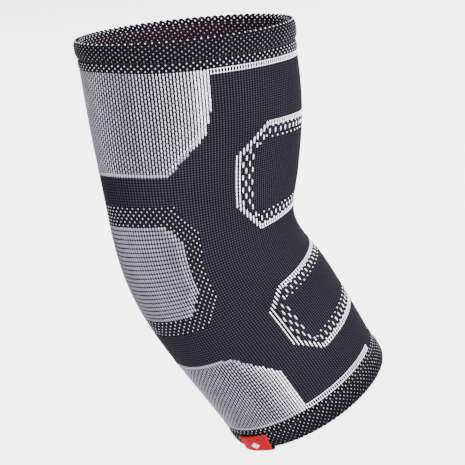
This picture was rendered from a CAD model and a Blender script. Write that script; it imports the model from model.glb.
# %% [markdown]
# # A knitted elbow support sleeve
# The sleeve is one bent oval tube of weft-knitted jacquard. Every pattern zone
# is made of the same two things: a column of stitches, called a wale, and a
# row of stitches, called a course. This lesson therefore builds the tube as a
# grid of wales and courses, and gives each zone its own cells of that grid.

# %% Load the frame
import math
import bpy
import numpy as np
from mathutils import Matrix, Vector


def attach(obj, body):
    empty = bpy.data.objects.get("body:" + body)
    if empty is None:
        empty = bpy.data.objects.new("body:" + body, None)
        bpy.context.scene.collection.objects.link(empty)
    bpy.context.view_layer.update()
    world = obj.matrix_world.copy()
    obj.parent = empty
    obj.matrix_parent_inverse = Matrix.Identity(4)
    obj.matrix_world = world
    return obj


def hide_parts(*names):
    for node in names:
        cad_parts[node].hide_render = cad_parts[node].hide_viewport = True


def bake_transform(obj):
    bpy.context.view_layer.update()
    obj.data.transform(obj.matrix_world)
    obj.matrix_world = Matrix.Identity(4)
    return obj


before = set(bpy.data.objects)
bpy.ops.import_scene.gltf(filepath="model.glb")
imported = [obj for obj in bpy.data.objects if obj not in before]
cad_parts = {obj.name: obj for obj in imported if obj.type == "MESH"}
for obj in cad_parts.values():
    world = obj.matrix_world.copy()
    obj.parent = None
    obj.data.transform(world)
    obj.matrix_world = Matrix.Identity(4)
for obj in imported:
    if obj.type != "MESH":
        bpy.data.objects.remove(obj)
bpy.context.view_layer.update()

MM = 0.001

# %% [markdown]
# ## The shape of the worn sleeve
# The centreline is straight along the upper arm, turns by 30 degrees over
# 100 mm at the elbow, and is straight again. Each cross-section is an oval,
# deeper from elbow point to crook than from side to side. The sizes follow the
# plain parts, with a slightly smaller upper rim, so that the knit lies on them.

# %% Centreline and girth
LENGTH, ELBOW, BEND, HALF = 200.0, 104.0, 30.0, 50.0   # mm, mm from the top, degrees, mm
# each row: distance down the sleeve, half depth, shift to the crook, half width
GIRTH = np.array([
    (0, 53.7, 3.8, 45.6), (40, 54.5, 6.5, 39.5), (75, 51.0, 6.0, 33.0),
    (105, 45.5, 3.0, 33.5), (145, 44.5, 8.5, 35.5), (200, 40.5, 12.0, 36.0)])


def bend_angle(s):
    u = np.clip((s - ELBOW + HALF) / (2 * HALF), 0, 1)
    return math.radians(BEND) * u * u * (3 - 2 * u)


TABLE_STEP = 0.25
S_TABLE = np.arange(-5.0, 206.0, TABLE_STEP)
_turn = bend_angle(S_TABLE)
_y = np.concatenate([[0], np.cumsum((np.sin(_turn[1:]) + np.sin(_turn[:-1])) / 2 * TABLE_STEP)])
_z = np.concatenate([[0], np.cumsum(-(np.cos(_turn[1:]) + np.cos(_turn[:-1])) / 2 * TABLE_STEP)])
Y_TABLE = _y - np.interp(ELBOW, S_TABLE, _y)
Z_TABLE = _z - np.interp(ELBOW, S_TABLE, _z)


def girth(s, column):
    """Smooth curve through one column of GIRTH."""
    x, v = GIRTH[:, 0], GIRTH[:, column]
    after = np.minimum(np.arange(len(x)) + 1, len(x) - 1)
    before = np.maximum(np.arange(len(x)) - 1, 0)
    slope = (v[after] - v[before]) / (x[after] - x[before])
    i = np.clip(np.searchsorted(x, s, side="right") - 1, 0, len(x) - 2)
    h = x[i + 1] - x[i]
    u = (s - x[i]) / h
    return (v[i] * (1 + 2 * u) * (1 - u) ** 2 + slope[i] * h * u * (1 - u) ** 2
            + v[i + 1] * u * u * (3 - 2 * u) - slope[i + 1] * h * u * u * (1 - u))


# %% [markdown]
# ## Wales and courses
# A circular machine knits the same number of wales all the way down, so each
# wale gets wider where the arm is thicker. Wale 0 runs down the crook and
# wale 96 down the point of the elbow. The function below turns a place in the
# knit, given as wale and distance down the sleeve, into a point in space.

# %% From the knit to space
HALF_WALES = 96
WALES = 2 * HALF_WALES
SHARES = 192        # steps of the angle table round half a section
HEM_TILT = 1.3      # mm that the hem hangs lower at the crook and higher at the elbow
COURSE_LIFT = 1.9   # mm that the courses ride up towards the elbow point and the -X flank
_phi = np.linspace(0, np.pi, 361)
_share = np.linspace(0, 1, SHARES + 1)
PHI_TABLE = np.zeros((len(S_TABLE), len(_share)))
for _i, _s in enumerate(S_TABLE):
    _a, _b = girth(np.array([_s]), 1)[0], girth(np.array([_s]), 3)[0]
    _arc = np.concatenate([[0], np.cumsum(np.hypot(np.diff(_a * np.cos(_phi)), np.diff(_b * np.sin(_phi))))])
    PHI_TABLE[_i] = np.interp(_share, _arc / _arc[-1], _phi)


def lookup_phi(wale, s):
    """Angle round the section for a wale from 0 to 96."""
    x = np.clip((s - S_TABLE[0]) / TABLE_STEP, 0, len(S_TABLE) - 1.001)
    y = np.clip(wale / HALF_WALES * SHARES, 0, SHARES - 0.001)
    i, j = x.astype(int), y.astype(int)
    u, v = x - i, y - j
    return ((PHI_TABLE[i, j] * (1 - u) + PHI_TABLE[i + 1, j] * u) * (1 - v)
            + (PHI_TABLE[i, j + 1] * (1 - u) + PHI_TABLE[i + 1, j + 1] * u) * v)


def knit_point(wale, s, rise):
    """Points in metres. wale runs from -96 to 96 (or any whole turn), s and rise are in mm."""
    wale, s, rise = np.broadcast_arrays(*(np.asarray(v, float) for v in (wale, s, rise)))
    turned = (wale + HALF_WALES) % WALES - HALF_WALES
    phi = lookup_phi(np.abs(turned), s)
    side = np.where(turned < 0, -1.0, 1.0)
    s = s + HEM_TILT * np.clip((s - 150) / 50, 0, 1) * np.cos(phi)
    beside = np.clip(np.where(turned > 0, (turned - 68) / 28, (-20 - turned) / 40), 0, 1)
    within = np.clip(s / 15, 0, 1) * np.clip((128 - s) / 45, 0, 1)
    s = s - COURSE_LIFT * beside * beside * (3 - 2 * beside) * within
    a, shift, b = girth(s, 1), girth(s, 2), girth(s, 3)
    nx, ny = np.cos(phi) / a, np.sin(phi) / b
    size = np.hypot(nx, ny)
    across = shift + a * np.cos(phi) + rise * nx / size
    sideways = side * (b * np.sin(phi) + rise * ny / size)
    turn = bend_angle(s)
    y = np.interp(s, S_TABLE, Y_TABLE) + across * np.cos(turn)
    z = np.interp(s, S_TABLE, Z_TABLE) + across * np.sin(turn)
    return np.stack([sideways, y, z], -1) * MM


for _at in (0.0, ELBOW, LENGTH):
    _ring = knit_point(np.arange(-HALF_WALES, HALF_WALES + 1), _at, 0.0)
    _round = float(np.linalg.norm(np.diff(_ring, axis=0), axis=1).sum()) / MM
    print("girth at", _at, "mm:", round(_round), "mm")

# %% [markdown]
# ## Zones of the pattern
# The jacquard pattern is a chart: a zone's name for each cell. Corners are given
# as distance down the sleeve and wale. Both flanks are the same, so the chart
# is drawn for wales 0 to 96 and mirrored. Because a zone is a set of cells,
# its slanted edges come out as small steps, as they do in real jacquard.

# %% Draw the chart
TOP, FOOT, COURSES = 14.8, 187.0, 156
PITCH = (FOOT - TOP) / COURSES
cell_wale = np.arange(-HALF_WALES, HALF_WALES) + 0.5
cell_s = TOP + (np.arange(COURSES) + 0.5) * PITCH
CELL_S, CELL_W = np.meshgrid(cell_s, cell_wale, indexing="ij")


def in_zone(corners):
    """Cells whose centre lies in a polygon of (distance, wale) corners."""
    x, y = CELL_S, np.abs(CELL_W)
    inside = np.zeros(x.shape, bool)
    for (x0, y0), (x1, y1) in zip(corners, corners[1:] + corners[:1]):
        crosses = (y0 > y) != (y1 > y)
        if y0 != y1:
            inside ^= crosses & (x < (x1 - x0) * (y - y0) / (y1 - y0) + x0)
    return inside


def eroded(mask, wales, courses):
    """Cells that stay inside when the zone shrinks by so many wales and courses."""
    kept = mask.copy()
    for step in range(1, wales + 1):
        kept &= np.roll(mask, step, 1) & np.roll(mask, -step, 1)
    for step in range(1, courses + 1):
        kept[step:] &= mask[:-step]
        kept[:-step] &= mask[step:]
    return kept


triceps = in_zone([(0, 60), (31, 60), (38, 61), (46, 62.6), (63, 75), (63, 100), (0, 100)])
WINDOWS = {
    "biceps": [(43.5, -1), (43.5, 40), (57.5, 52), (81, 52.4), (96, 42.5), (96, -1)],
    "forearm": [(126.5, -1), (126, 47), (134, 56), (154, 56.2), (167, 47), (167, -1)],
}
biceps, forearm_zone = in_zone(WINDOWS["biceps"]), in_zone(WINDOWS["forearm"])
border = in_zone([(75, 100), (75, 75), (88, 67.2), (115, 68), (124.8, 75.5), (126, 78), (126, 100)])
patch = in_zone([(83.1, 100), (83.1, 78.2), (90.3, 73.1), (109.3, 72.8), (119.2, 78.6), (119.6, 100)])
ulna = in_zone([(142.7, 100), (143.5, 77.5), (162, 65.2), (190, 64.8), (190, 100)])
biceps_field = eroded(biceps, 3, 2)
forearm_field = eroded(forearm_zone, 3, 2)

# the ground changes name along two slightly slanted courses, and a line ends it at each cuff
UPPER_JOIN, UPPER_SLANT = 62.0, 0.05
LOWER_JOIN, LOWER_SLANT = 145.5, 0.081
UPPER_LINE_FOOT, LOWER_LINE_TOP = 17.2, 184.5
CELL_A = girth(CELL_S, 2) + girth(CELL_S, 1) * np.cos(lookup_phi(np.abs(CELL_W), CELL_S))
chart = np.full(CELL_S.shape, "elbow_knit", dtype="U24")
chart[CELL_S < UPPER_JOIN - CELL_A * UPPER_SLANT] = "upper_arm_knit"
chart[CELL_S > LOWER_JOIN + CELL_A * LOWER_SLANT] = "forearm_knit"
chart[CELL_S > LOWER_LINE_TOP] = "lower_cuff_line"
chart[CELL_S < UPPER_LINE_FOOT] = "upper_cuff_line"
chart[triceps] = "triceps_panel"
chart[biceps] = "biceps_window_outline"
chart[biceps_field] = "biceps_window_field"
chart[border] = "elbow_dot_border"
chart[patch] = "elbow_patch"
chart[forearm_zone] = "forearm_window_outline"
chart[forearm_field] = "forearm_window_field"
chart[ulna] = "forearm_panel"
for _name in np.unique(chart):
    print(_name, int((chart == _name).sum()), "cells")

# %% [markdown]
# ## Colours
# The ground yarn is a very dark navy with a lavender-grey plating yarn that
# shows as fine dots. The pattern yarn is off-white. One function turns the
# usual sRGB hex values into the linear values the shader needs.


# %% Colour and node helpers
def linear(code):
    """Linear RGBA of an sRGB hex colour."""
    values = [int(code[i:i + 2], 16) / 255 for i in (1, 3, 5)]
    return [v / 12.92 if v <= 0.04045 else ((v + 0.055) / 1.055) ** 2.4 for v in values] + [1.0]


def node(tree, kind, settings=None, **inputs):
    """Adds one node. Inputs are values or output sockets; _0, _1 name sockets by number."""
    made = tree.nodes.new("ShaderNode" + kind)
    for key, value in (settings or {}).items():
        setattr(made, key, value)
    for key, value in inputs.items():
        socket = made.inputs[int(key[1:])] if key[1:].isdigit() else made.inputs[key.replace("_", " ")]
        if isinstance(value, bpy.types.NodeSocket):
            tree.links.new(value, socket)
        else:
            socket.default_value = value
    return made


def math_node(tree, operation, first, second=0.0, third=0.0, clamp=False):
    settings = {"operation": operation, "use_clamp": clamp}
    return node(tree, "Math", settings, _0=first, _1=second, _2=third).outputs[0]


def blended(tree, share, first, second):
    """Colour between two colours or sockets."""
    made = node(tree, "Mix", {"data_type": "RGBA"}, _0=share, _6=first, _7=second)
    return made.outputs[2]


def new_material(name, roughness, sheen=0.0, gloss=0.3):
    """Material with a principled shader; constants are set on its sockets."""
    material = bpy.data.materials.new(name)
    material.use_nodes = True
    tree = material.node_tree
    shader = tree.nodes["Principled BSDF"]
    shader.inputs["Roughness"].default_value = roughness
    shader.inputs["IOR"].default_value = 1.5
    shader.inputs["Specular IOR Level"].default_value = gloss
    shader.inputs["Sheen Weight"].default_value = sheen
    shader.inputs["Sheen Roughness"].default_value = 0.5
    return material, tree, shader


def knit_uv(tree):
    """Wale and course numbers of the shaded point."""
    uv = node(tree, "UVMap", {"uv_map": "Knit"})
    parts = node(tree, "SeparateXYZ", _0=uv.outputs[0])
    return uv.outputs[0], parts.outputs[0], parts.outputs[1]


def crest(tree, coordinate, sharpness=1.0):
    """1 in the middle of each cell and 0 at its edge."""
    turn = math_node(tree, "MULTIPLY", math_node(tree, "FRACT", coordinate), 2 * math.pi)
    wave = math_node(tree, "COSINE", turn)
    half = math_node(tree, "MULTIPLY_ADD", wave, -0.5, 0.5)
    return math_node(tree, "POWER", half, sharpness)


# %% [markdown]
# ### Ground knit
# Fine jacquard: each stitch is a small crest, a little lighter in the middle
# where the plating yarn shows. Slow noise varies the shade, because yarn takes
# dye unevenly and the fabric is stretched more in some places than in others.

# %% Ground knit material
def ground_knit(name, dark, light, strength):
    roughness = 0.85
    material, tree, shader = new_material(name, roughness, gloss=0.05)
    uv, u, v = knit_uv(tree)
    dot = math_node(tree, "MULTIPLY", crest(tree, u, 1.5), crest(tree, v, 1.2))
    speck = node(tree, "TexNoise", Vector=uv, Scale=0.9, Detail=3.0, Roughness=0.6).outputs[0]
    slow = node(tree, "TexNoise", Vector=uv, Scale=0.05, Detail=2.0).outputs[0]
    share = math_node(tree, "MULTIPLY", dot, math_node(tree, "MULTIPLY_ADD", speck, 1.2, 0.3))
    share = math_node(tree, "MULTIPLY", share, math_node(tree, "MULTIPLY_ADD", slow, 0.6, 0.7))
    share = math_node(tree, "MULTIPLY", share, strength, clamp=True)
    colour = blended(tree, share, linear(dark), linear(light))
    tree.links.new(colour, shader.inputs["Base Color"])
    height = math_node(tree, "MULTIPLY_ADD", speck, 0.3, dot)
    bumped = node(tree, "Bump", Height=height, Strength=0.35, Distance=0.0003)
    tree.links.new(bumped.outputs[0], shader.inputs["Normal"])
    tree.links.new(math_node(tree, "MULTIPLY_ADD", speck, 0.2, roughness - 0.1), shader.inputs["Roughness"])
    return material


navy_knit = ground_knit("navy_jacquard_polyamide", "#060508", "#403c4c", 0.78)
gap_knit = ground_knit("black_ground_between_ribs", "#09080b", "#2a2831", 0.5)
cuff_knit = ground_knit("black_turned_welt_knit", "#050407", "#19171f", 0.5)
lining_knit = ground_knit("plum_black_inner_face", "#0e060a", "#24141c", 0.8)


# %% [markdown]
# ### Pattern yarn
# The white stitches are loops of bulked polyester: matt, slightly hairy, with
# a faint lavender shade in the creases between filaments.

# %% Yarn material
def yarn(name, light, shade, roughness=0.75, sheen=0.1):
    material, tree, shader = new_material(name, roughness, sheen=sheen)
    uv = knit_uv(tree)[0]
    stretch = node(tree, "Mapping", Vector=uv, Scale=(6.0, 1.5, 1.0)).outputs[0]
    fibre = node(tree, "TexNoise", Vector=stretch, Scale=1.6, Detail=4.0, Roughness=0.65).outputs[0]
    slow = node(tree, "TexNoise", Vector=uv, Scale=0.21, Detail=2.0).outputs[0]
    uneven = math_node(tree, "MULTIPLY_ADD", slow, 0.6, -0.35)
    share = math_node(tree, "MULTIPLY_ADD", fibre, 0.8, uneven, clamp=True)
    colour = blended(tree, share, linear(shade), linear(light))
    tree.links.new(colour, shader.inputs["Base Color"])
    bumped = node(tree, "Bump", Height=fibre, Strength=0.4, Distance=0.0002)
    tree.links.new(bumped.outputs[0], shader.inputs["Normal"])
    tree.links.new(math_node(tree, "MULTIPLY_ADD", fibre, 0.2, roughness - 0.1), shader.inputs["Roughness"])
    return material


white_yarn = yarn("off_white_bulked_polyester", "#fbfafd", "#d2d0db")
pale_yarn = yarn("pale_bulked_polyester", "#dfdde5", "#9f9cab")
float_yarn = yarn("pale_grey_float_yarn", "#a29faa", "#636070")
half_yarn = yarn("half_light_float_yarn", "#b7b4be", "#787582")
soft_yarn = yarn("light_float_yarn", "#cbc9d2", "#8d8a97")
ridge_yarn = yarn("grey_ridge_yarn", "#83808c", "#4f4c5b")
dim_yarn = yarn("grey_tucked_yarn", "#7d7a87", "#4c4957")
dark_yarn = yarn("black_linking_thread", "#1b1a22", "#0c0b10")
elastic_yarn = yarn("covered_elastic", "#2b2930", "#141318", roughness=0.6)

# %% [markdown]
# ## Mesh helpers
# Three makers cover nearly all of it. `cells_mesh` turns cells of the chart
# into a closed piece of wall with one small crest per stitch. `bead_mesh`
# makes raised stitches that lie on it. `ring_mesh` sweeps a closed profile
# round the sleeve, for the turned cuffs and seams.

# %% Stitch crests and walls
WALL = 1.8     # mm of fabric
CREST = 0.16   # mm that a plain stitch stands up
RES_W, RES_S = 2 * WALES, 2 * COURSES + 1
_gw = np.arange(RES_W) / 2 - HALF_WALES
_gs = TOP + np.arange(RES_S) * PITCH / 2
GRID_S, GRID_W = np.meshgrid(_gs, _gw, indexing="ij")


def outer_grid(rise, crest_height):
    wale_crest = (np.arange(RES_W) % 2)[None, :]
    course_crest = (np.arange(RES_S) % 2)[:, None]
    relief = crest_height * (0.65 * wale_crest + 0.35 * wale_crest * course_crest)
    return knit_point(GRID_W, GRID_S, rise + relief)


INNER = knit_point(GRID_W[::2, ::2], GRID_S[::2, ::2], -WALL)


def cells_mesh(mask, rise=0.0, crest_height=CREST):
    """Vertices, faces, face slots (0 skin, 1 inner face) and corner UVs of closed wall cells."""
    outer = outer_grid(rise, crest_height)
    rows, cols = np.nonzero(mask)
    vertex_count = RES_S * RES_W

    def o(i, j):
        return i * RES_W + j % RES_W

    def n(i, j):
        return vertex_count + i * WALES + j % WALES

    quads, slots, uvs = [], [], []
    for di in (0, 1):
        for dj in (0, 1):
            i, j = 2 * rows + di, 2 * cols + dj
            quads.append(np.stack([o(i, j), o(i + 1, j), o(i + 1, j + 1), o(i, j + 1)], 1))
            uv = [((j + b) / 2, (i + a) / 2) for a, b in ((0, 0), (1, 0), (1, 1), (0, 1))]
            uvs.append(np.stack([np.stack(p, 1) for p in uv], 1))
            slots.append(np.zeros(len(rows), int))
    quads.append(np.stack([n(rows, cols), n(rows, cols + 1), n(rows + 1, cols + 1), n(rows + 1, cols)], 1))
    uv = [(cols + b, rows + a) for a, b in ((0, 0), (0, 1), (1, 1), (1, 0))]
    uvs.append(np.stack([np.stack(p, 1) for p in uv], 1))
    slots.append(np.ones(len(rows), int))
    faces = [f for q in quads for f in q.tolist()]
    face_uvs = [f for q in uvs for f in q.tolist()]
    face_slots = np.concatenate(slots).tolist()
    padded = np.zeros((COURSES + 2, WALES), bool)
    padded[1:-1] = mask
    for i, j in zip(rows, cols):
        sides = (
            (not padded[i, j], (2 * i, 2 * j), (2 * i, 2 * j + 1), (2 * i, 2 * j + 2)),
            (not padded[i + 2, j], (2 * i + 2, 2 * j + 2), (2 * i + 2, 2 * j + 1), (2 * i + 2, 2 * j)),
            (not mask[i, (j - 1) % WALES], (2 * i + 2, 2 * j), (2 * i + 1, 2 * j), (2 * i, 2 * j)),
            (not mask[i, (j + 1) % WALES],
             (2 * i, 2 * j + 2), (2 * i + 1, 2 * j + 2), (2 * i + 2, 2 * j + 2)),
        )
        for bare, p, q, r in sides:
            if bare:
                faces.append([o(*p), o(*q), o(*r), n(r[0] // 2, r[1] // 2), n(p[0] // 2, p[1] // 2)])
                face_uvs.append([(p[1] / 2, p[0] / 2), (q[1] / 2, q[0] / 2), (r[1] / 2, r[0] / 2),
                                 (r[1] / 2, r[0] / 2), (p[1] / 2, p[0] / 2)])
                face_slots.append(0)
    vertices = np.concatenate([outer.reshape(-1, 3), INNER.reshape(-1, 3)])
    return vertices, faces, face_slots, face_uvs


# %% Raised stitches
BEAD_ALONG = np.array([0.0, 0.1, 0.3, 0.5, 0.7, 0.9, 1.0])
BEAD_ROUND = np.array([-1.0, -0.62, 0.0, 0.62, 1.0])


def patch_quads(count, rows, cols):
    """Faces of so many separate patches of rows by cols vertices."""
    index = np.arange(count * rows * cols).reshape(count, rows, cols)
    corners = [index[:, :-1, :-1], index[:, 1:, :-1], index[:, 1:, 1:], index[:, :-1, 1:]]
    return np.stack(corners, -1).reshape(-1, 4)


def bead_mesh(beads, slot):
    """Stitches given as rows of wale, start, end, width in wales, rise and base rise."""
    beads = np.asarray(beads, float)
    wale, start, end, width, rise, base = beads.T[:, :, None, None]
    u = BEAD_ALONG[None, :, None]
    x = BEAD_ROUND[None, None, :]
    taper = np.sqrt(np.clip(1 - np.abs(2 * u - 1) ** 2.6, 0.02, 1))
    w = wale + x * width / 2 * taper
    s = np.broadcast_to(start + (end - start) * u, w.shape)
    lift = base + rise * taper * np.sqrt(np.clip(1 - x * x, 0, 1)) - 0.12 * (np.abs(x) > 0.99)
    quads = patch_quads(*w.shape)
    uv = np.stack([w + HALF_WALES, (s - TOP) / PITCH], -1).reshape(-1, 2)
    return knit_point(w, s, lift).reshape(-1, 3), quads.tolist(), [slot] * len(quads), uv[quads].tolist()


# %% Closed rings
def path_length(loop):
    """Distance along a path of (distance, rise) points, at each of them."""
    return np.concatenate([[0], np.cumsum(np.hypot(*np.diff(loop, axis=0).T))])


def ring_mesh(profile, around, ripple=None):
    """Sweeps a closed loop of (distance, rise) round the sleeve, in so many steps a wale."""
    profile = np.asarray(profile, float)
    wale = np.arange(WALES * around) / around - HALF_WALES
    s = np.repeat(profile[:, :1], len(wale), 1)
    r = np.repeat(profile[:, 1:], len(wale), 1)
    w = np.repeat(wale[None, :], len(profile), 0)
    if ripple is not None:
        s, r = ripple(w, s, r)
    points = knit_point(w, s, r).reshape(-1, 3)
    rows, cols = w.shape
    i, j = np.meshgrid(np.arange(rows), np.arange(cols), indexing="ij")
    i, j = i.ravel(), j.ravel()
    quads = np.stack([i * cols + j, ((i + 1) % rows) * cols + j,
                      ((i + 1) % rows) * cols + (j + 1) % cols, i * cols + (j + 1) % cols], 1)
    path = path_length(np.vstack([profile, profile[:1]])) / PITCH
    uvs = [[(b / around, path[a]), (b / around, path[a + 1]),
            ((b + 1) / around, path[a + 1]), ((b + 1) / around, path[a])]
           for a, b in zip(i.tolist(), j.tolist())]
    return points, quads.tolist(), [0] * len(quads), uvs


# %% [markdown]
# Parts are joined into one object per real piece. Each object gets two UV
# maps: `Knit` counts wales and courses for the procedural pattern, and
# `OFBake` gives skin, inner face and stitches a band each, one above the other.

# %% Join parts into an object
pieces_made = []


def piece(name, parts, materials, nodes, ride=None):
    """Builds one object from mesh parts, gives it UVs and ties it to its CAD nodes."""
    vertices, faces, slots, uvs, offset = [], [], [], [], 0
    for points, part_faces, part_slots, part_uvs in parts:
        vertices.append(points)
        faces += [[k + offset for k in f] for f in part_faces]
        slots += part_slots
        uvs += part_uvs
        offset += len(points)
    vertices = np.concatenate(vertices)
    sizes = np.array([len(f) for f in faces])
    flat = np.array([k for f in faces for k in f])
    used, flat = np.unique(flat, return_inverse=True)
    mesh = bpy.data.meshes.new(name + "_fabric")
    mesh.vertices.add(len(used))
    mesh.vertices.foreach_set("co", vertices[used].astype(np.float32).ravel())
    mesh.loops.add(len(flat))
    mesh.loops.foreach_set("vertex_index", flat.astype(np.int32))
    mesh.polygons.add(len(faces))
    mesh.polygons.foreach_set("loop_start", np.concatenate([[0], np.cumsum(sizes)[:-1]]).astype(np.int32))
    mesh.polygons.foreach_set("material_index", np.array(slots, np.int32))
    mesh.polygons.foreach_set("use_smooth", np.full(len(faces), True))
    for material in materials:
        mesh.materials.append(material)
    knit = np.array([c for f in uvs for c in f], float)
    loop_slot = np.repeat(slots, sizes)
    bake = np.zeros_like(knit)
    bands = max(slots) + 1
    for band in range(bands):
        here = loop_slot == band
        if here.any():
            low, high = knit[here].min(0), knit[here].max(0)
            share = (knit[here] - low) / np.maximum(high - low, 1e-6)
            bake[here, 0] = 0.01 + 0.98 * share[:, 0]
            bake[here, 1] = (band + 0.02 + 0.96 * share[:, 1]) / bands
    for uv_name, values in (("Knit", knit), ("OFBake", bake)):
        layer = mesh.uv_layers.new(name=uv_name)
        layer.data.foreach_set("uv", values.astype(np.float32).ravel())
    mesh.update(calc_edges=True)
    mesh.validate()
    made_object = bpy.data.objects.new(name + "_fabric", mesh)
    bpy.context.scene.collection.objects.link(made_object)
    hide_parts(*nodes)
    if ride:
        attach(made_object, ride)
    else:
        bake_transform(made_object)
    pieces_made.append(made_object)
    print(name, len(mesh.polygons), "faces")
    return made_object


# %% [markdown]
# ## Ground knit
# The dark knit of upper arm, elbow and forearm, and the fields inside the two
# windows.

# %% Dark wall pieces
for _name in ("upper_arm_knit", "elbow_knit", "forearm_knit"):
    piece(_name, [cells_mesh(chart == _name)], [navy_knit, lining_knit], [_name])

# %% [markdown]
# ## Ribbed panels
# In the light panels the white yarn floats over two courses and is tied down
# between them, and the next wale is tied one course later. That gives the
# brick pattern of dashes. Towards the panel's edges the ties are hidden, and
# the wales read as solid ribs.


# %% Brick-pattern ribs
def wale_runs(mask):
    """(column, first row, last row) of each unbroken run of cells down a wale."""
    runs = []
    for j in range(WALES):
        column = np.flatnonzero(mask[:, j])
        if len(column):
            for part in np.split(column, np.flatnonzero(np.diff(column) > 1) + 1):
                runs.append((j, part[0], part[-1]))
    return runs


PANEL_YARNS = [float_yarn, half_yarn, soft_yarn, pale_yarn, white_yarn]


def wales_to_side(row, j):
    """Wales from column j to the nearer side of a zone, along one row of its mask."""
    return min(k for k in range(1, WALES) if not (row[(j + k) % WALES] and row[(j - k) % WALES]))


def nearness(from_edge):
    """1 beside a panel's side edge, fading to 0 eleven wales in."""
    return max(0.0, min(1.0, (11 - from_edge) / 9))


def rib_beads(mask, closed_top, closed_foot, tone_reach):
    """Stitches of a ribbed panel, in one list for each tone of PANEL_YARNS."""
    rng = np.random.default_rng(7)
    lists = [[] for _ in PANEL_YARNS]
    period = 2 * PITCH
    rows = np.flatnonzero(mask.any(1))
    for j, first, last in wale_runs(mask):
        wale = j + 0.5 - HALF_WALES
        top, foot = TOP + first * PITCH, TOP + (last + 1) * PITCH
        slanted_top, slanted_foot = first > rows[0] + 1, last < rows[-1] - 1
        from_edge = wales_to_side(mask[(first + last) // 2], j)
        near = nearness(from_edge)
        fill = 0.88 + 0.42 * near
        start = top + (1.7 if closed_top and near < 0.4 else -0.2)
        stop = foot - (1.7 if closed_foot and near < 0.4 else -0.1)
        at = start - (period / 2 if j % 2 else 0.0)
        while at < stop - 0.3:
            a, b = max(at, start), min(at + fill * period, stop)
            if b - a > 0.6:
                from_slant = min(a - top if slanted_top else 99, foot - b if slanted_foot else 99)
                depth = min(from_edge, 2.0 + from_slant / 1.2)
                tone = sum(depth <= reach for reach in tone_reach)
                lists[tone].append((wale, a, b, (0.54 + 0.1 * near) * rng.uniform(0.92, 1.08),
                                    (0.2 + 0.18 * near) * rng.uniform(0.88, 1.12), 0.0))
            at += period
        for closed, a in ((closed_top, top - 0.1), (closed_foot, foot - 1.7)):
            if closed and near < 0.4:
                lists[0].append((wale, a, a + 1.8, 0.86, 0.34, 0.0))
    return lists


def ribbed_panel(name, mask, closed_top, closed_foot, tone_reach):
    stitches = [bead_mesh(beads, tone + 2) for tone, beads in
                enumerate(rib_beads(mask, closed_top, closed_foot, tone_reach)) if beads]
    piece(name, [cells_mesh(mask, -0.1, 0.05)] + stitches, [gap_knit, lining_knit] + PANEL_YARNS, [name])


# the last numbers are the wales from the panel's side where each lighter tone starts
ribbed_panel("triceps_panel", triceps, False, True, (22, 16, 10, 5))
ribbed_panel("forearm_panel", ulna, True, True, (11, 8, 5, 3))

# %% [markdown]
# ## Elbow patch
# The patch over the elbow point is knitted looser, with every stitch in pale
# yarn and all stitches of a course side by side. The courses stand up as fine
# cross ridges, which lets the fabric open over the bent elbow.

# %% Ridged patch
RIDGES = 23


def ridge_beads(mask):
    """Stitches of the patch: (field, brighter edge stitches)."""
    rng = np.random.default_rng(11)
    field, edge = [], []
    low, high = CELL_S[mask].min() - PITCH / 2, CELL_S[mask].max() + PITCH / 2
    step = (high - low) / RIDGES
    inner = eroded(mask, 3, 0)
    for j, first, last in wale_runs(mask):
        wale = j + 0.5 - HALF_WALES
        top, foot = TOP + first * PITCH, TOP + (last + 1) * PITCH
        near = nearness(wales_to_side(mask[(first + last) // 2], j))
        for k in range(RIDGES):
            a, b = low + k * step, low + (k + 1) * step
            if a > top - 0.6 * step and b < foot + 0.6 * step:
                row = min(int(((a + b) / 2 - TOP) / PITCH), COURSES - 1)
                bead = (wale, a + 0.1 - 0.06 * near, b - 0.1 + 0.06 * near,
                        (0.91 - 0.16 * near) * rng.uniform(0.97, 1.03),
                        0.4 * rng.uniform(0.93, 1.07), -0.05)
                (field if inner[row, j] else edge).append(bead)
    return field, edge


_field, _edge = ridge_beads(patch)
piece("elbow_patch", [cells_mesh(patch, -0.1, 0.05), bead_mesh(_field, 2), bead_mesh(_edge, 3)],
      [gap_knit, lining_knit, ridge_yarn, float_yarn], ["elbow_patch"])


# %% [markdown]
# ## Dotted border
# Single white stitches on every second wale, shifted by one wale from row to
# row.

# %% Dots on cells
def dot_beads(mask, row_step, size, rise):
    rng = np.random.default_rng(3)
    beads = []
    low = CELL_S[mask].min()
    for k in range(int((CELL_S[mask].max() - low) / row_step) + 1):
        s = low + k * row_step
        i = int((s - TOP) / PITCH)
        if i >= COURSES:
            continue
        for j in range(WALES):
            if mask[i, j] and (j + k) % 2 == 0:
                grow = rng.uniform(0.9, 1.1) * size
                beads.append((j + 0.5 - HALF_WALES, s - 0.5 * grow, s + 0.5 * grow, 0.78 * grow, rise, 0.05))
    return beads


border_ring = chart == "elbow_dot_border"
rim = border_ring & ~eroded(border, 2, 0)
_inner_dots, _rim_dots = [], []
for _dot in dot_beads(border_ring, 1.3, 0.62, 0.28):
    _row = min(int(((_dot[1] + _dot[2]) / 2 - TOP) / PITCH), COURSES - 1)
    (_rim_dots if rim[_row, int(_dot[0] + HALF_WALES)] else _inner_dots).append(_dot)
piece("elbow_dot_border",
      [cells_mesh(border_ring, 0.0, 0.1), bead_mesh(_inner_dots, 2), bead_mesh(_rim_dots, 3)],
      [gap_knit, lining_knit, half_yarn, pale_yarn], ["elbow_dot_border"])

# %% [markdown]
# ## Window outlines
# Each window is edged by two solid columns of white yarn. Inside them come
# four columns of staggered dashes. Where the edge runs across the sleeve the
# stitches stand side by side like a ladder, every second column hangs lower,
# and a row of dashes and a row of dots follow.

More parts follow.
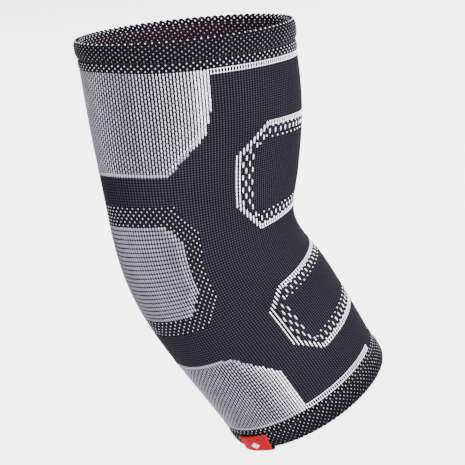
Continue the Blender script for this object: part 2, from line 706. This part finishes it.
# %% Outlines and their dashes
WINDOW_PITCH = 1.3   # the windows are knitted wider: wales from one stitch column to the next
SIDE_COLUMNS = 2     # solid columns at each side of a window
BRICK_COLUMNS = 4    # columns of staggered dashes beside them
DASH, DASH_PERIOD = 2.7, 6.1      # mm of a dash, and from one to the next
DASH_CLEAR = 3.4                  # mm kept free between the dashes and the window's edge
LADDER_DEPTH, SLANT_DEPTH = 2.3, 2.0   # mm of a level edge stitch, and past the next column's edge
# where short marks lie below the edge, from and to, for even and odd columns
LEVEL_MARKS = ([(3.8, 6.3)], [(2.1, 3.2), (7.4, 8.2)])
SLANT_MARKS = ([(4.8, 7.2)], [(6.6, 7.5)])


def ladder_stitch(wale, start, end, width=1.0):
    """A stitch with a wide head and foot: in a row they make two rails with rungs between."""
    rail = 0.25 * (end - start)
    return [(wale, start, start + rail, 0.96 * width, 0.34, 0.0),
            (wale, end - rail, end, 0.96 * width, 0.34, 0.0),
            (wale, start + 0.5 * rail, end - 0.5 * rail, 0.38 * width, 0.3, 0.0)]


def window_edges(corners, wale):
    """Top and foot of a window at a wale."""
    upper, under = corners[:3], corners[:2:-1]
    return (float(np.interp(wale, [w for s, w in upper], [s for s, w in upper])),
            float(np.interp(wale, [w for s, w in under], [s for s, w in under])))


def side_column(wale, top, foot):
    """Stitches of about 1.8 mm that overlap, so the column reads as solid."""
    count = round((foot - top) / 1.8)
    step = (foot - top) / count
    return [(wale, top + k * step - 0.15, top + (k + 1) * step + 0.15, 0.58, 0.36, 0.0)
            for k in range(count)]


def brick_column(wale, top, foot, odd):
    dashes = []
    phase = DASH_PERIOD / 2 if odd else 0.0
    at = math.ceil((top + DASH_CLEAR - phase) / DASH_PERIOD) * DASH_PERIOD + phase
    while at + DASH <= foot - DASH_CLEAR:
        dashes.append((wale, at, at + DASH, 0.55, 0.34, 0.02))
        at += DASH_PERIOD
    return dashes


def window_stitches(corners):
    """Stitches of a window: (outline, dashes inside it)."""
    half = max(w for s, w in corners)
    count = 2 * int(half / WINDOW_PITCH)
    pitch = 2 * half / count
    outline, dashes = [], []
    for k in range(count):
        wale = (k + 0.5) * pitch - half
        from_side = min(k, count - 1 - k)
        odd = from_side % 2 == 1
        top, foot = window_edges(corners, abs(wale))
        if from_side < SIDE_COLUMNS:
            outline += side_column(wale, top, foot)
            continue
        outer_top, outer_foot = window_edges(corners, abs(wale) + pitch)
        brick = from_side < SIDE_COLUMNS + BRICK_COLUMNS
        if brick:
            dashes += brick_column(wale, top, foot, odd)
        for edge, outer, way in ((top, outer_top, 1), (foot, outer_foot, -1)):
            level = abs(outer - edge) < 0.3
            if level:
                outline += ladder_stitch(wale, *sorted((edge, edge + way * LADDER_DEPTH)), pitch)
            else:
                outline.append((wale, *sorted((edge, outer + way * SLANT_DEPTH)), 0.64, 0.4, 0.0))
            if not brick:
                dashes += [(wale, *sorted((edge + way * a, edge + way * b)), 0.56, 0.34, 0.02)
                           for a, b in (LEVEL_MARKS if level else SLANT_MARKS)[odd]]
    return outline, dashes


for _zone, _corners in WINDOWS.items():
    _ring, _field = chart == _zone + "_window_outline", chart == _zone + "_window_field"
    _outline, _dashes = window_stitches(_corners)
    piece(_zone + "_window_outline", [cells_mesh(_ring, 0.0, 0.05), bead_mesh(_outline, 2)],
          [gap_knit, lining_knit, white_yarn], [_zone + "_window_outline"])
    piece(_zone + "_window_field", [cells_mesh(_field), bead_mesh(_dashes, 2)],
          [navy_knit, lining_knit, white_yarn], [_zone + "_window_field"])

# %% [markdown]
# ## White lines at the cuffs
# Each is a ladder of white stitches, one per wale. The upper line runs from one
# edge of the light panel round the crook to the other. The lower one stops
# short of the crook on both sides.

# %% Ladder lines
def ladder_beads(mask, start, end, ends_at):
    beads = []
    for j in range(WALES):
        if mask[:, j].any() and abs(j + 0.5 - HALF_WALES) > ends_at:
            beads += ladder_stitch(j + 0.5 - HALF_WALES, start, end)
    return beads


for _name, _a, _b, _stop in (("upper_cuff_line", 14.7, 17.3, 0), ("lower_cuff_line", 184.4, 187.1, 28)):
    _mask = chart == _name
    piece(_name, [cells_mesh(_mask), bead_mesh(ladder_beads(_mask, _a, _b, _stop), 2)],
          [navy_knit, lining_knit, white_yarn], [_name])

# %% [markdown]
# ## Turned cuffs
# Each end of the sleeve is a double welt: the knit is turned in over inlaid
# elastic and linked down, so the edge is thick and rounded. White stitches
# are tucked on every second wale, and at the fold they push the dark yarn up
# into small teeth.

# %% Cuff profiles
# loops of (distance from the sleeve's end, height over the knit) in mm
CUFF = [(9.3, -0.3), (8.9, 0.2), (8.2, 0.6), (7.0, 0.85), (5.4, 0.95), (3.8, 0.95), (2.4, 0.88),
        (1.3, 0.65), (0.55, 0.25), (0.1, -0.35), (0.3, -1.0), (0.9, -1.55), (1.8, -1.9),
        (2.8, -2.05), (2.8, -1.6), (1.9, -1.45), (1.2, -1.0), (1.0, -0.5), (1.5, -0.15),
        (3.0, 0.0), (6.0, -0.05), (8.4, -0.4), (9.3, -0.9)]
CUFF_SHOWS = 14   # the first points of CUFF: its outside, the fold and the start of the inside
LINING = [(2.8, -1.65), (2.8, -2.2), (3.4, -2.35), (6.0, -2.4), (9.0, -2.45), (12.0, -2.7),
          (18.0, -2.85), (18.2, -2.5), (18.0, -2.15), (12.0, -2.05), (9.2, -1.9), (6.0, -1.75)]
BAND = [(10.2, -0.3), (10.4, 0.05), (11.2, 0.35), (12.6, 0.45), (13.9, 0.3), (14.6, 0.1),
        (14.8, -0.1), (14.8, -1.8), (10.2, -1.8)]
LOWER_BAND = [(10.0, -0.3), (10.2, 0.05), (10.8, 0.3), (11.6, 0.38), (12.4, 0.25), (12.8, 0.1),
              (13.0, -0.1), (13.0, -1.8), (10.0, -1.8)]
BAND_SHOWS = 7    # the first points of a band: its outside
DOT_ROW = 1.27    # mm from one row of tucked dots to the next


def end_profile(loop, lower):
    return [(LENGTH - s if lower else s, r) for s, r in (loop[::-1] if lower else loop)]


def teeth(lower):
    """Small teeth along the fold, one for every second wale."""
    def ripple(w, s, r):
        depth = LENGTH - s if lower else s
        strength = np.clip(1 - depth / 1.6, 0, 1)
        wave = np.cos(np.pi * (w + 0.5))
        shift = (0.08 if lower else 0.38) * strength * wave
        tuck = 0.10 * wave * np.cos(np.pi * depth / DOT_ROW) * (r > -0.2)
        return (s + shift if lower else s - shift), r + tuck
    return ripple


def cuff_dots(lower):
    """Dots on the outside, the fold and the inside of a cuff, as mesh parts."""
    rng = np.random.default_rng(5)
    profile = np.array(CUFF[:CUFF_SHOWS] + [(3.6, -2.4)])
    path = path_length(profile)
    fold = float(np.interp(9.6, np.arange(len(profile)), path))
    beads = []
    row, at = 0, 0.75
    while at < path[-1] - 0.3:
        shrink = max(0.7, 0.95 - 0.04 * row) if lower else 1.0
        for j in range(WALES):
            if (j + row) % 2 == 0:
                beads.append((j + 0.5 - HALF_WALES, at, rng.uniform(0.8, 1.1) * shrink))
        row += 1
        at += DOT_ROW
    wale, at, size = np.array(beads).T[:, :, None, None]
    u = BEAD_ALONG[None, :, None]
    x = BEAD_ROUND[None, None, :]
    taper = np.sqrt(np.clip(1 - np.abs(2 * u - 1) ** 2.2, 0.02, 1))
    w = wale + x * 0.23 * taper * size
    d = np.broadcast_to(at + (u - 0.5) * 0.8 * size, w.shape)
    lift = 0.15 * taper * np.sqrt(np.clip(1 - x * x, 0, 1)) - 0.04

    def on_path(distance):
        return np.interp(distance, path, profile[:, 0]), np.interp(distance, path, profile[:, 1])

    step = 0.05
    (s, r), (s_on, r_on), (s_back, r_back) = on_path(d), on_path(d + step), on_path(d - step)
    ds, dr = s_on - s_back, r_on - r_back
    length = np.hypot(ds, dr) + 1e-9
    s, r = teeth(False)(w, s + lift * dr / length, r - lift * ds / length)
    points = knit_point(w, LENGTH - s if lower else s, r)
    quads = patch_quads(*w.shape)
    if not lower:
        quads = quads[:, ::-1]
    uv = np.stack([w + HALF_WALES, d / PITCH], -1).reshape(-1, 2)
    bright = at.ravel() < 4.5 if lower else at.ravel() > fold - 0.9
    slots = np.repeat(np.where(bright, 2, 1), len(quads) // len(beads))
    return points.reshape(-1, 3), quads.tolist(), slots.tolist(), uv[quads].tolist()


def lining_dots(lower):
    """Rows of tucked stitches that show on the inside, below the fold."""
    rng = np.random.default_rng(9)
    beads = []
    for row, depth in enumerate((3.9, 5.2, 6.5, 7.8, 9.1)):
        at = LENGTH - depth if lower else depth
        for j in range(WALES):
            if (j + row) % 2 == 0:
                size = rng.uniform(0.8, 1.1) * (0.95 - 0.08 * row)
                beads.append((j + 0.5 - HALF_WALES, at - 0.4 * size, at + 0.4 * size,
                              0.5 * size, -0.25, -2.38 - 0.01 * depth))
    return bead_mesh(beads, 1)


# %% Build the cuffs
ELASTIC_RADIUS, ELASTIC_RISE = 0.28, -0.95
# for each end: cuff, body, light dot yarn, band, its dot rows, their size, seam from and to
ENDS = {
    "upper": ("upper_cuff", "upper_arm", pale_yarn, BAND, (11.0, 12.3, 13.6), 0.85, (9.25, 10.25)),
    "lower": ("forearm_cuff", "forearm", float_yarn, LOWER_BAND, (10.75, 12.1), 0.78, (8.95, 10.05)),
}
for _end, (_cuff, _body, _light, _band, _rows, _size, (_a, _b)) in ENDS.items():
    _low = _end == "lower"
    piece(_cuff, [ring_mesh(end_profile(CUFF, _low), 4, teeth(_low)), cuff_dots(_low)],
          [cuff_knit, dim_yarn, _light], [_cuff], ride=_body)
    piece(_cuff + "_lining", [ring_mesh(end_profile(LINING, _low), 1), lining_dots(_low)],
          [lining_knit, float_yarn], [_cuff + "_lining"], ride=_body)
    _rings = []
    for _s in (3.6, 5.0, 6.4, 7.8):
        _loop = [(_s + ELASTIC_RADIUS * math.cos(a), ELASTIC_RISE + ELASTIC_RADIUS * math.sin(a))
                 for a in np.linspace(0, 2 * math.pi, 7)[:-1]]
        _rings.append(ring_mesh(end_profile(_loop, _low), 1))
    piece(_cuff + "_elastic", _rings, [elastic_yarn], [_cuff + "_elastic"], ride=_body)
    _shape = np.array(_band[:BAND_SHOWS])
    _dots = []
    for _row, _s in enumerate(_rows):
        _seat = float(np.interp(_s, _shape[:, 0], _shape[:, 1])) - 0.06
        _at = LENGTH - _s if _low else _s
        _dots += [(j + 0.5 - HALF_WALES, _at - _size / 2, _at + _size / 2, 0.6 * _size, 0.2, _seat)
                  for j in range(WALES) if (j + _row) % 2 == 0]
    piece(_end + "_dot_band", [ring_mesh(end_profile(_band, _low), 2), bead_mesh(_dots, 1)],
          [cuff_knit, soft_yarn], [_end + "_dot_band"], ride=_body)
    _seam = [(_a, -1.7), (_a, -0.45), ((_a + _b) / 2, -0.3), (_b, -0.45), (_b, -1.7)]
    _from, _to = (LENGTH - _b, LENGTH - _a) if _low else (_a, _b)
    _loops = [(j + 0.5 - HALF_WALES, _from, _to, 0.7, 0.3, -0.4) for j in range(WALES)]
    piece(_end + "_linking_seam", [ring_mesh(end_profile(_seam, _low), 1), bead_mesh(_loops, 1)],
          [cuff_knit, dark_yarn], [_end + "_linking_seam"], ride=_body)

# %% [markdown]
# ## Hem label
# A short piece of woven red tape is folded round the hem at the elbow side
# and sewn near its top edge. It is a real sheet of tape, so it is declared
# as one.

# %% Label material
def tape(name, light, shade):
    material, tree, shader = new_material(name, 0.6, gloss=0.03)
    uv, u, v = knit_uv(tree)
    warp = crest(tree, math_node(tree, "MULTIPLY", u, 2.6), 1.0)
    weft = crest(tree, math_node(tree, "MULTIPLY", v, 3.2), 1.0)
    noise = node(tree, "TexNoise", Vector=uv, Scale=3.0, Detail=3.0).outputs[0]
    weave = math_node(tree, "MULTIPLY_ADD", warp, 0.5, math_node(tree, "MULTIPLY", weft, 0.5))
    share = math_node(tree, "MULTIPLY_ADD", noise, 0.5, math_node(tree, "MULTIPLY", weave, 0.6), clamp=True)
    tree.links.new(blended(tree, share, linear(shade), linear(light)), shader.inputs["Base Color"])
    bumped = node(tree, "Bump", Height=weave, Strength=0.3, Distance=0.0001)
    tree.links.new(bumped.outputs[0], shader.inputs["Normal"])
    tree.links.new(math_node(tree, "MULTIPLY_ADD", noise, 0.2, 0.45), shader.inputs["Roughness"])
    return material


red_tape = tape("red_woven_polyester_tape", "#a20010", "#74000a")
grey_weave = tape("pale_grey_weft_yarn", "#dcdae0", "#a8a6b2")

# %% Label shape
LABEL_W, LABEL_SHIFT, TAPE = 17.0, 6.3, 0.45   # width, place beside the elbow line, thickness
LABEL_TOP, LABEL_FOLD = 190.6, 199.4           # where the outer leg starts and where it turns in
LABEL_SKEW = 0.22                              # sideways lean per mm down


def tape_rise(s):
    """Height of the tape's middle over the knit, on its outer leg."""
    return 1.25 + 0.25 * (s - LABEL_TOP) / 9


def tape_wave(x):
    """Slight waviness across the tape."""
    return 0.12 * np.sin(x * 0.55)


_outside = [(s, tape_rise(s)) for s in np.linspace(LABEL_TOP, LABEL_FOLD, 12)]
_fold = [(LABEL_FOLD + 1.75 * math.sin(a), -0.35 + 1.85 * math.cos(a))
         for a in np.linspace(0.15, math.pi - 0.15, 9)]
_inside = [(s, -2.6) for s in np.linspace(198.6, 193.4, 7)]
LABEL_PATH = np.array(_outside + _fold + _inside)


def label_point(x, s, r):
    """Point on the elbow side of the hem, x mm sideways from the elbow line."""
    shape = np.broadcast(x, s, r).shape
    x, s, r = (np.broadcast_to(v, shape).astype(float) for v in (x, s, r))
    elbow_line = float(HALF_WALES)
    one_wale = knit_point(elbow_line, s, 0.0) - knit_point(elbow_line - 1, s, 0.0)
    pitch = np.linalg.norm(one_wale, axis=-1) / MM
    x = x - LABEL_SKEW * (s - LABEL_TOP)
    return knit_point(elbow_line - x / pitch, s, r)


def label_sheet():
    columns = 17
    x = LABEL_SHIFT + np.linspace(-LABEL_W / 2, LABEL_W / 2, columns)
    tangent = np.gradient(LABEL_PATH, axis=0)
    tangent /= np.linalg.norm(tangent, axis=1, keepdims=True)
    parts = []
    for half in (TAPE / 2, -TAPE / 2):
        s = LABEL_PATH[:, 0] - half * tangent[:, 1]
        r = LABEL_PATH[:, 1] + half * tangent[:, 0]
        parts.append(label_point(x[None, :], s[:, None], r[:, None] + tape_wave(x[None, :])))
    rows = len(LABEL_PATH)
    grid = np.arange(rows * columns).reshape(rows, columns)
    other = grid + rows * columns
    faces = []
    for i in range(rows - 1):
        for j in range(columns - 1):
            faces.append([grid[i, j], grid[i + 1, j], grid[i + 1, j + 1], grid[i, j + 1]])
            faces.append([other[i, j], other[i, j + 1], other[i + 1, j + 1], other[i + 1, j]])
        for j, flip in ((0, True), (columns - 1, False)):
            f = [grid[i, j], grid[i + 1, j], other[i + 1, j], other[i, j]]
            faces.append(f[::-1] if flip else f)
    for i, flip in ((0, False), (rows - 1, True)):
        for j in range(columns - 1):
            f = [grid[i, j], grid[i, j + 1], other[i, j + 1], other[i, j]]
            faces.append(f[::-1] if flip else f)
    faces = [[int(k) for k in f] for f in faces]
    place = np.stack(np.broadcast_arrays(x[None, :], path_length(LABEL_PATH)[:, None]), -1)
    place = np.concatenate([place.reshape(-1, 2), place.reshape(-1, 2) + [LABEL_W + 2, 0]])
    uvs = [[place[k].tolist() for k in f] for f in faces]
    return np.concatenate([p.reshape(-1, 3) for p in parts]), faces, [0] * len(faces), uvs


label = piece("hem_label", [label_sheet()], [red_tape], ["hem_label"], ride="forearm")


# %% [markdown]
# A row of small stitches holds the tape, and a plain woven diamond stands in
# the middle of it.

# %% Stitches and diamond
def label_bump(x0, x1, s0, s1, rise, shape, n):
    """Small raised patch on the outer leg of the label."""
    u = np.linspace(-1, 1, n)
    U, V = np.meshgrid(u, u, indexing="ij")
    if shape == "diamond":
        X, S = (U - V) / 2, (U + V) / 2
    else:
        X, S = U, V
    x = (x0 + x1) / 2 + X * (x1 - x0) / 2
    s = (s0 + s1) / 2 + S * (s1 - s0) / 2
    base = tape_rise(s) + TAPE / 2 + tape_wave(x)
    lift = rise * np.sqrt(np.clip(1 - np.maximum(np.abs(U), np.abs(V)) ** 4, 0, 1)) - 0.05
    top = label_point(x, s, base + lift).reshape(-1, 3)
    foot = label_point(x, s, base - 0.1).reshape(-1, 3)
    index = np.arange(n * n).reshape(n, n)
    faces = []
    for q in patch_quads(1, n, n).tolist():
        faces += [q, [k + n * n for k in q[::-1]]]
    edge = list(index[0, :]) + list(index[1:, -1]) + list(index[-1, -2::-1]) + list(index[-2:0:-1, 0])
    for a, b in zip(edge, edge[1:] + edge[:1]):
        faces.append([a, b, b + n * n, a + n * n])
    faces = [[int(k) for k in f] for f in faces]
    place = np.stack([x, s], -1).reshape(-1, 2)
    place = np.concatenate([place, place])
    uvs = [[place[k].tolist() for k in f] for f in faces]
    return np.concatenate([top, foot]), faces, [0] * len(faces), uvs


STITCH_FIRST, STITCH_STEP, STITCH_LONG = LABEL_SHIFT - 7.0, 2.4, 1.7
_stitches = []
for _k in range(6):
    _x = STITCH_FIRST + STITCH_STEP * _k
    _stitches.append(label_bump(_x, _x + STITCH_LONG, 191.45, 191.85, 0.22, "bar", 5))
red_thread = yarn("red_sewing_thread", "#7a0009", "#4a0005", sheen=0.0)
piece("label_stitches", _stitches, [red_thread], ["label_stitches"], ride="forearm")
_diamond = label_bump(LABEL_SHIFT - 2.8, LABEL_SHIFT + 2.8, 194.4, 198.9, 0.16, "diamond", 13)
piece("label_emblem", [_diamond], [grey_weave], ["label_emblem"], ride="forearm")

# %% [markdown]
# ## Floor, light and camera
# A pale floor lies well below the sleeve. A soft key light comes from the upper
# right, a second light far behind brightens the floor, and the surround is an
# even white.

# %% Stage
def soft_light(name, where, aim, size, power):
    data = bpy.data.lights.new(name, "AREA")
    data.shape = "DISK"
    data.size = size
    data.energy = power
    lamp = bpy.data.objects.new(name, data)
    lamp.location = where
    lamp.rotation_euler = (Vector(aim) - Vector(where)).to_track_quat("-Z", "Y").to_euler()
    bpy.context.scene.collection.objects.link(lamp)


FLOOR_Z = -0.6
bpy.ops.mesh.primitive_plane_add(size=60, location=(0, 0, FLOOR_Z))
floor = bpy.context.object
floor.name = "floor"
floor_paint, _, floor_shader = new_material("pale_matt_floor", 0.9)
floor_shader.inputs["Base Color"].default_value = linear("#f4f4f5")
floor.data.materials.append(floor_paint)

world = bpy.data.worlds.new("pale_surround")
bpy.context.scene.world = world
world.use_nodes = True
world.node_tree.nodes["Background"].inputs[0].default_value = (1, 1, 1, 1)
world.node_tree.nodes["Background"].inputs[1].default_value = 1.0

azimuth, elevation, roll = (math.radians(v) for v in (53.25, 8.33, -5.06))
back = np.array([math.sin(azimuth) * math.cos(elevation),
                 -math.cos(azimuth) * math.cos(elevation), math.sin(elevation)])
right = np.cross([0, 0, 1], back)
right /= np.linalg.norm(right)
up = np.cross(back, right)
cam_x = right * math.cos(roll) + up * math.sin(roll)
cam_y = -right * math.sin(roll) + up * math.cos(roll)

soft_light("key", (back * 1.9 + cam_x * 0.45 + cam_y * 1.3).tolist(), (0, 0, 0), 0.8, 215)
soft_light("floor_light", (-3.8, 2.9, 1.9), (-3.8, 2.9, FLOOR_Z), 6.0, 800)

SENSOR = 36                # mm
CAMERA_DISTANCE = 2461     # mm
FIELD_WIDTH = 217.28972    # mm seen across at the sleeve
AIM_RIGHT, AIM_UP = 12.59, 7.45   # mm from the hinge
aim = (cam_x * AIM_RIGHT + cam_y * AIM_UP) * MM
place = back * CAMERA_DISTANCE * MM + aim
camera_data = bpy.data.cameras.new("camera")
camera_data.sensor_width = SENSOR
camera_data.lens = SENSOR * CAMERA_DISTANCE / FIELD_WIDTH
camera = bpy.data.objects.new("camera", camera_data)
camera.matrix_world = Matrix([
    [cam_x[0], cam_y[0], back[0], place[0]], [cam_x[1], cam_y[1], back[1], place[1]],
    [cam_x[2], cam_y[2], back[2], place[2]], [0, 0, 0, 1]])
bpy.context.scene.collection.objects.link(camera)
bpy.context.scene.camera = camera

# %% Sizes and finish
print("faces in all", sum(len(o.data.polygons) for o in pieces_made))
